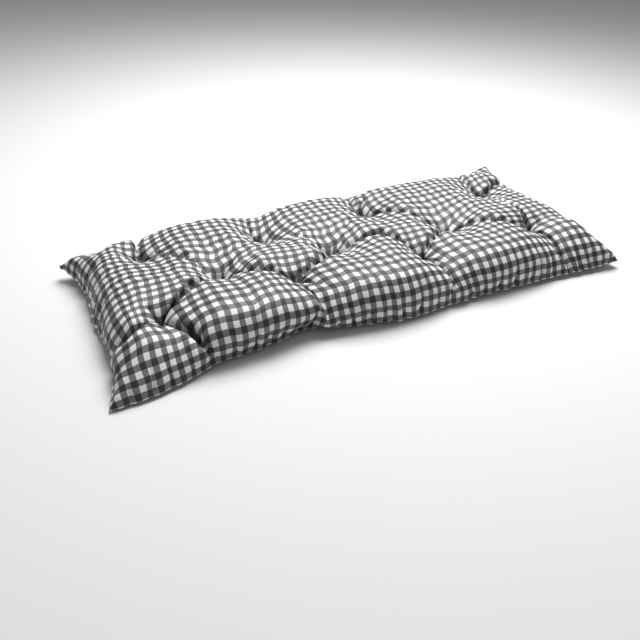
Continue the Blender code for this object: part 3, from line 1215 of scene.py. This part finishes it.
def stitch_tube(place, rise):
    """A short bowed thread as rings round a path: straight through a place, plus rise times sin(pi t).

    Its radius is the thread's times the square root of 1 - (2 t - 1)^8, so that its ends are rounded.
    """
    start, end = place - THREAD_RUN, place + THREAD_RUN
    t = np.linspace(0, 1, 11)[:, None]
    path = start + (end - start) * t
    path[:, 2:] += rise * np.sin(np.pi * t)
    run = np.gradient(path, axis=0)
    run /= np.linalg.norm(run, axis=1, keepdims=True)
    side = np.cross(run, (0.0, 0.0, 1.0))
    side /= np.linalg.norm(side, axis=1, keepdims=True)
    over = np.cross(side, run)
    turn = np.linspace(0, 2 * np.pi, 9)[:-1]
    thick = THREAD_RADIUS * np.sqrt(np.clip(1 - (2 * t[:, 0] - 1) ** 8, 0.05, 1))[:, None, None]
    spoke = side[:, None] * np.cos(turn)[:, None] + over[:, None] * np.sin(turn)[:, None]
    return path[:, None] + thick * spoke


def ring_faces(rings, sides, first):
    """Faces between rings of points, and a cap at each end, all turned outwards."""
    ring, side = np.meshgrid(np.arange(rings - 1), np.arange(sides), indexing="ij")
    after = (side + 1) % sides
    this, beyond = ring * sides, (ring + 1) * sides
    quads = np.stack((this + side, beyond + side, beyond + after, this + after), axis=-1)
    last = first + (rings - 1) * sides
    caps = [tuple(range(first, first + sides)), tuple(range(last + sides - 1, last - 1, -1))]
    return [tuple(face) for face in (quads.reshape(-1, 4) + first).tolist()] + caps


# Materials --------------------------------------------------------------------------------------------


def new_group(name, inputs, outputs):
    """An empty node group with float or vector sockets."""
    tree = bpy.data.node_groups.new(name, "ShaderNodeTree")
    for label, kind, value in inputs:
        socket = tree.interface.new_socket(name=label, in_out="INPUT", socket_type=kind)
        if kind == "NodeSocketFloat":
            socket.default_value = value
    for label, kind in outputs:
        tree.interface.new_socket(name=label, in_out="OUTPUT", socket_type=kind)
    return tree, tree.nodes.new("NodeGroupInput"), tree.nodes.new("NodeGroupOutput")


def sum_node(tree, operation, first, second=None, clamp=False):
    """A Math node whose inputs are sockets or numbers."""
    node = tree.nodes.new("ShaderNodeMath")
    node.operation = operation
    node.use_clamp = clamp
    for number, value in enumerate((first, second)):
        if value is None:
            continue
        if isinstance(value, (int, float)):
            node.inputs[number].default_value = value
        else:
            tree.links.new(value, node.inputs[number])
    return node.outputs[0]


def checks_group():
    """Gingham: each way, threads are dark over half of the repeat, with edges a fortieth of it wide.

    Puts out the masks of both sets of stripes.
    """
    tree, start, end = new_group(
        "gingham_stripes",
        (
            ("Place", "NodeSocketVector", None),
            ("Repeat Along", "NodeSocketFloat", 0.02),
            ("Repeat Across", "NodeSocketFloat", 0.02),
        ),
        (("Along", "NodeSocketFloat"), ("Across", "NodeSocketFloat")),
    )
    split = tree.nodes.new("ShaderNodeSeparateXYZ")
    tree.links.new(start.outputs["Place"], split.inputs[0])
    for axis, label in enumerate(("Along", "Across")):
        turns = sum_node(tree, "DIVIDE", split.outputs[axis], start.outputs["Repeat " + label])
        share = sum_node(tree, "FRACT", turns)
        centred = sum_node(tree, "ABSOLUTE", sum_node(tree, "SUBTRACT", share, 0.5))
        ramp = sum_node(tree, "MULTIPLY", sum_node(tree, "SUBTRACT", 0.25, centred), 40.0)
        tree.links.new(sum_node(tree, "ADD", ramp, 0.5, clamp=True), end.inputs[label])
    return tree


def weave_group():
    """Plain weave: yarns are round, and each goes over and under in turn. Puts out their height."""
    tree, start, end = new_group(
        "plain_weave",
        (("Place", "NodeSocketVector", None), ("Pitch", "NodeSocketFloat", 0.0006)),
        (("Height", "NodeSocketFloat"),),
    )
    split = tree.nodes.new("ShaderNodeSeparateXYZ")
    tree.links.new(start.outputs["Place"], split.inputs[0])
    waves = []
    for axis in (0, 1):
        turns = sum_node(tree, "DIVIDE", split.outputs[axis], start.outputs["Pitch"])
        waves.append(sum_node(tree, "SINE", sum_node(tree, "MULTIPLY", turns, np.pi)))
    product = sum_node(tree, "MULTIPLY", waves[0], waves[1])
    tree.links.new(sum_node(tree, "ABSOLUTE", product), end.inputs["Height"])
    return tree


def uneven_group():
    """Slow and fine unevenness of cotton, about 1: two noises of different size, mixed."""
    tree, start, end = new_group(
        "cotton_unevenness",
        (("Place", "NodeSocketVector", None), ("Amount", "NodeSocketFloat", 0.1)),
        (("Shade", "NodeSocketFloat"),),
    )
    total = None
    # Scale of each noise, and its part of the whole
    for scale, part in ((9.0, 0.6), (140.0, 0.4)):
        noise = tree.nodes.new("ShaderNodeTexNoise")
        noise.inputs["Scale"].default_value = scale
        noise.inputs["Detail"].default_value = 3.0
        tree.links.new(start.outputs["Place"], noise.inputs["Vector"])
        term = sum_node(tree, "MULTIPLY", sum_node(tree, "SUBTRACT", noise.outputs["Fac"], 0.5), part)
        total = term if total is None else sum_node(tree, "ADD", total, term)
    scaled = sum_node(tree, "MULTIPLY", total, start.outputs["Amount"])
    tree.links.new(sum_node(tree, "ADD", scaled, 1.0), end.inputs["Shade"])
    return tree


def place_group(tree, group, values):
    """A node that uses a group, with inputs given as sockets or numbers."""
    node = tree.nodes.new("ShaderNodeGroup")
    node.node_tree = group
    for label, value in values.items():
        if isinstance(value, (int, float)):
            node.inputs[label].default_value = value
        else:
            tree.links.new(value, node.inputs[label])
    return node


def mix_colours(tree, factor, first, second, blend="MIX"):
    """A colour mix; first and second are sockets or colours."""
    node = tree.nodes.new("ShaderNodeMix")
    node.data_type = "RGBA"
    node.blend_type = blend
    if isinstance(factor, (int, float)):
        node.inputs["Factor"].default_value = factor
    else:
        tree.links.new(factor, node.inputs["Factor"])
    for label, value in (("A", first), ("B", second)):
        socket = next(s for s in node.inputs if s.name == label and s.type == "RGBA")
        if isinstance(value, bpy.types.NodeSocket):
            tree.links.new(value, socket)
        else:
            socket.default_value = value
    return next(s for s in node.outputs if s.type == "RGBA")


def gingham_material(settings, groups):
    """Gingham cotton: three tones from two sets of stripes, a plain weave in bump and in painted shade,
    painted shade in folds.
    """
    material = bpy.data.materials.new("gingham_cotton")
    material.use_nodes = True
    tree = material.node_tree
    shader = tree.nodes["Principled BSDF"]
    place = tree.nodes.new("ShaderNodeUVMap")
    place.uv_map = "panel"
    stripes = place_group(
        tree,
        groups["stripes"],
        {
            "Place": place.outputs[0],
            "Repeat Along": PANEL_LENGTH / settings.repeats_along,
            "Repeat Across": PANEL_WIDTH / settings.repeats_across,
        },
    )
    weave = place_group(tree, groups["weave"], {"Place": place.outputs[0], "Pitch": settings.yarn_pitch})
    uneven = place_group(tree, groups["uneven"], {"Place": place.outputs[0], "Amount": UNEVENNESS})
    one_way = mix_colours(tree, stripes.outputs["Along"], tuple(settings.white), tuple(settings.grey))
    both_ways = mix_colours(tree, stripes.outputs["Along"], tuple(settings.grey), tuple(settings.charcoal))
    checks = mix_colours(tree, stripes.outputs["Across"], one_way, both_ways)
    # Painted shade between the yarns and painted light on their tops, from the weave's height
    lit_tops = sum_node(tree, "MULTIPLY", weave.outputs["Height"], LIGHT_ON_YARN_TOPS)
    weave_light_and_shade = sum_node(tree, "ADD", lit_tops, SHADE_BETWEEN_YARNS)
    # The attribute is painted shade: it darkens the colour in deep folds and behind the tufts
    painted_shade_mask = tree.nodes.new("ShaderNodeAttribute")
    painted_shade_mask.attribute_name = "painted_shade_mask"
    lost = sum_node(tree, "MULTIPLY", painted_shade_mask.outputs["Fac"], settings.crease_shade)
    woven = sum_node(tree, "MULTIPLY", weave_light_and_shade, uneven.outputs["Shade"])
    shade = sum_node(tree, "MULTIPLY", woven, sum_node(tree, "SUBTRACT", 1.0, lost))
    grey = tree.nodes.new("ShaderNodeCombineColor")
    for number in range(3):
        tree.links.new(shade, grey.inputs[number])
    colour = mix_colours(tree, 1.0, checks, grey.outputs[0], blend="MULTIPLY")
    tree.links.new(colour, shader.inputs["Base Color"])
    bump = tree.nodes.new("ShaderNodeBump")
    bump.inputs["Strength"].default_value = WEAVE_BUMP
    bump.inputs["Distance"].default_value = WEAVE_DEPTH
    tree.links.new(weave.outputs["Height"], bump.inputs["Height"])
    tree.links.new(bump.outputs["Normal"], shader.inputs["Normal"])
    shader.inputs["Roughness"].default_value = settings.roughness
    shader.inputs["Sheen Weight"].default_value = settings.sheen
    shader.inputs["Sheen Roughness"].default_value = SHEEN_SPREAD
    shader.inputs["Specular IOR Level"].default_value = settings.gloss
    return material


def thread_material(groups):
    """Dark grey cotton thread, slightly uneven."""
    material = bpy.data.materials.new("stitch_thread")
    material.use_nodes = True
    tree = material.node_tree
    shader = tree.nodes["Principled BSDF"]
    place = tree.nodes.new("ShaderNodeTexCoord")
    values = {"Place": place.outputs["Object"], "Amount": THREAD_UNEVENNESS}
    uneven = place_group(tree, groups["uneven"], values)
    grey = tree.nodes.new("ShaderNodeCombineColor")
    for number in range(3):
        tree.links.new(uneven.outputs["Shade"], grey.inputs[number])
    colour = mix_colours(tree, 1.0, THREAD_GREY, grey.outputs[0], blend="MULTIPLY")
    tree.links.new(colour, shader.inputs["Base Color"])
    shader.inputs["Roughness"].default_value = THREAD_ROUGHNESS
    return material


def shared_groups():
    """The node groups, made once."""
    names = bpy.data.node_groups
    if "plain_weave" not in names:
        checks_group()
        weave_group()
        uneven_group()
    return {
        "stripes": names["gingham_stripes"],
        "weave": names["plain_weave"],
        "uneven": names["cotton_unevenness"],
    }


def dress(item, material):
    """Links a finished piece, gives it its material and ties it to the frame."""
    if item.name not in bpy.context.scene.collection.objects:
        bpy.context.scene.collection.objects.link(item)
    item.data.materials.append(material)
    item.data.shade_smooth()
    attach(item, "root")
    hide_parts("cushion")


# Operators --------------------------------------------------------------------------------------------


class OBJECT_OT_bench_cushion(bpy.types.Operator):
    """Make the filled gingham cushion"""

    bl_idname = "object.bench_cushion"
    bl_label = "Bench Cushion"

    def execute(self, context):
        settings = context.scene.cushion_settings
        along, across, top = settle_cloth(settings)
        top = seat_seam(along, across, top)
        top = fill_out(settings, along, across, top)
        top = press_top(settings, top, along, across)
        underside = lay_underside(settings, top, along, across)
        mesh = closed_mesh("bench_cushion", top, underside)
        lay_uv(mesh, settings, along, across)
        paint_crease_shade(mesh, along, across)
        cushion = bpy.data.objects.new("bench_cushion", mesh)
        dress(cushion, gingham_material(context.scene.gingham_settings, shared_groups()))
        i, j, _ = tuft_steps(along.shape)
        context.scene["tuft_tops"] = top[i, j].ravel().tolist()
        context.scene["tuft_bottoms"] = underside[i, j].ravel().tolist()
        return {"FINISHED"}


class OBJECT_OT_tuft_stitches(bpy.types.Operator):
    """Make the thread that shows at each tuft, above and below"""

    bl_idname = "object.tuft_stitches"
    bl_label = "Tuft Stitches"

    def execute(self, context):
        points, faces = [], []
        for key, rise in (("tuft_tops", THREAD_BOW), ("tuft_bottoms", -THREAD_BOW)):
            for place in np.array(context.scene[key]).reshape(-1, 3):
                rings = stitch_tube(place, rise)
                faces += ring_faces(rings.shape[0], rings.shape[1], len(points))
                points += rings.reshape(-1, 3).tolist()
        mesh = bpy.data.meshes.new("tuft_stitches")
        mesh.from_pydata(points, [], faces)
        mesh.update()
        dress(bpy.data.objects.new("tuft_stitches", mesh), thread_material(shared_groups()))
        return {"FINISHED"}


class SCENE_OT_cushion_stage(bpy.types.Operator):
    """Make the pale floor, the soft light and the camera"""

    bl_idname = "scene.cushion_stage"
    bl_label = "Cushion Stage"

    def execute(self, context):
        settings = context.scene.stage_settings
        floor = self.make_floor(settings)
        self.make_light(context, settings)
        world = bpy.data.worlds.new("soft_studio")
        world.use_nodes = True
        world.node_tree.nodes["Background"].inputs["Color"].default_value = (1.0, 1.0, 1.0, 1.0)
        world.node_tree.nodes["Background"].inputs["Strength"].default_value = settings.fill_strength
        context.scene.world = world
        context.scene.view_settings.view_transform = "Standard"
        self.make_camera(context, settings)
        return {"FINISHED"}

    def make_floor(self, settings):
        """A plain floor just under the cushion."""
        mesh = bpy.data.meshes.new("floor")
        mesh.from_pydata(square(FLOOR_HALF, SEAT_Z - FLOOR_DROP), [], [(0, 1, 2, 3)])
        material = bpy.data.materials.new("floor")
        material.use_nodes = True
        shader = material.node_tree.nodes["Principled BSDF"]
        shader.inputs["Base Color"].default_value = tuple(settings.floor_colour)
        shader.inputs["Roughness"].default_value = FLOOR_ROUGHNESS
        mesh.materials.append(material)
        floor = bpy.data.objects.new("floor", mesh)
        bpy.context.scene.collection.objects.link(floor)
        return floor

    def make_light(self, context, settings):
        """A large square soft light that looks at the cushion."""
        light = bpy.data.lights.new("key", "AREA")
        light.energy = settings.key_power
        light.size = settings.key_size
        item = bpy.data.objects.new("key", light)
        item.location = settings.key_place
        item.rotation_euler = (-Vector(settings.key_place)).to_track_quat("-Z", "Y").to_euler()
        context.scene.collection.objects.link(item)

    def make_camera(self, context, settings):
        """A camera turned by yaw, pitch and roll about its place."""
        yaw, pitch, roll = np.radians(settings.camera_turn)
        look = np.array((np.sin(yaw) * np.cos(pitch), np.cos(yaw) * np.cos(pitch), -np.sin(pitch)))
        level = np.array((np.cos(yaw), -np.sin(yaw), 0.0))
        upright = np.cross(level, look)
        right = np.cos(roll) * level + np.sin(roll) * upright
        up = np.cos(roll) * upright - np.sin(roll) * level
        turned = np.eye(4)
        turned[:3, 0], turned[:3, 1], turned[:3, 2], turned[:3, 3] = right, up, -look, settings.camera_place
        camera = bpy.data.cameras.new("camera")
        camera.sensor_width = 36.0
        camera.lens = settings.lens
        item = bpy.data.objects.new("camera", camera)
        item.matrix_world = Matrix(turned.tolist())
        context.scene.collection.objects.link(item)
        context.scene.camera = item


class VIEW3D_PT_bench_cushion(bpy.types.Panel):
    """Buttons and sizes of the cushion"""

    bl_label = "Bench Cushion"
    bl_idname = "VIEW3D_PT_bench_cushion"
    bl_space_type = "VIEW_3D"
    bl_region_type = "UI"
    bl_category = "Cushion"

    def draw(self, context):
        for group in ("cushion_settings", "gingham_settings", "stage_settings"):
            settings = getattr(context.scene, group)
            box = self.layout.box()
            for name in settings.__annotations__:
                box.prop(settings, name)
        for button in ("object.bench_cushion", "object.tuft_stitches", "scene.cushion_stage"):
            self.layout.operator(button)


CLASSES = (
    CushionSettings,
    GinghamSettings,
    StageSettings,
    OBJECT_OT_bench_cushion,
    OBJECT_OT_tuft_stitches,
    SCENE_OT_cushion_stage,
    VIEW3D_PT_bench_cushion,
)


def register():
    for item in CLASSES:
        bpy.utils.register_class(item)
    bpy.types.Scene.cushion_settings = PointerProperty(type=CushionSettings)
    bpy.types.Scene.gingham_settings = PointerProperty(type=GinghamSettings)
    bpy.types.Scene.stage_settings = PointerProperty(type=StageSettings)


def unregister():
    del bpy.types.Scene.stage_settings
    del bpy.types.Scene.gingham_settings
    del bpy.types.Scene.cushion_settings
    for item in reversed(CLASSES):
        bpy.utils.unregister_class(item)


def main():
    """Registers the add-on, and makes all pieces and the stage."""
    register()
    bpy.ops.object.bench_cushion()
    bpy.ops.object.tuft_stitches()
    bpy.ops.scene.cushion_stage()


if __name__ == "__main__":
    main()
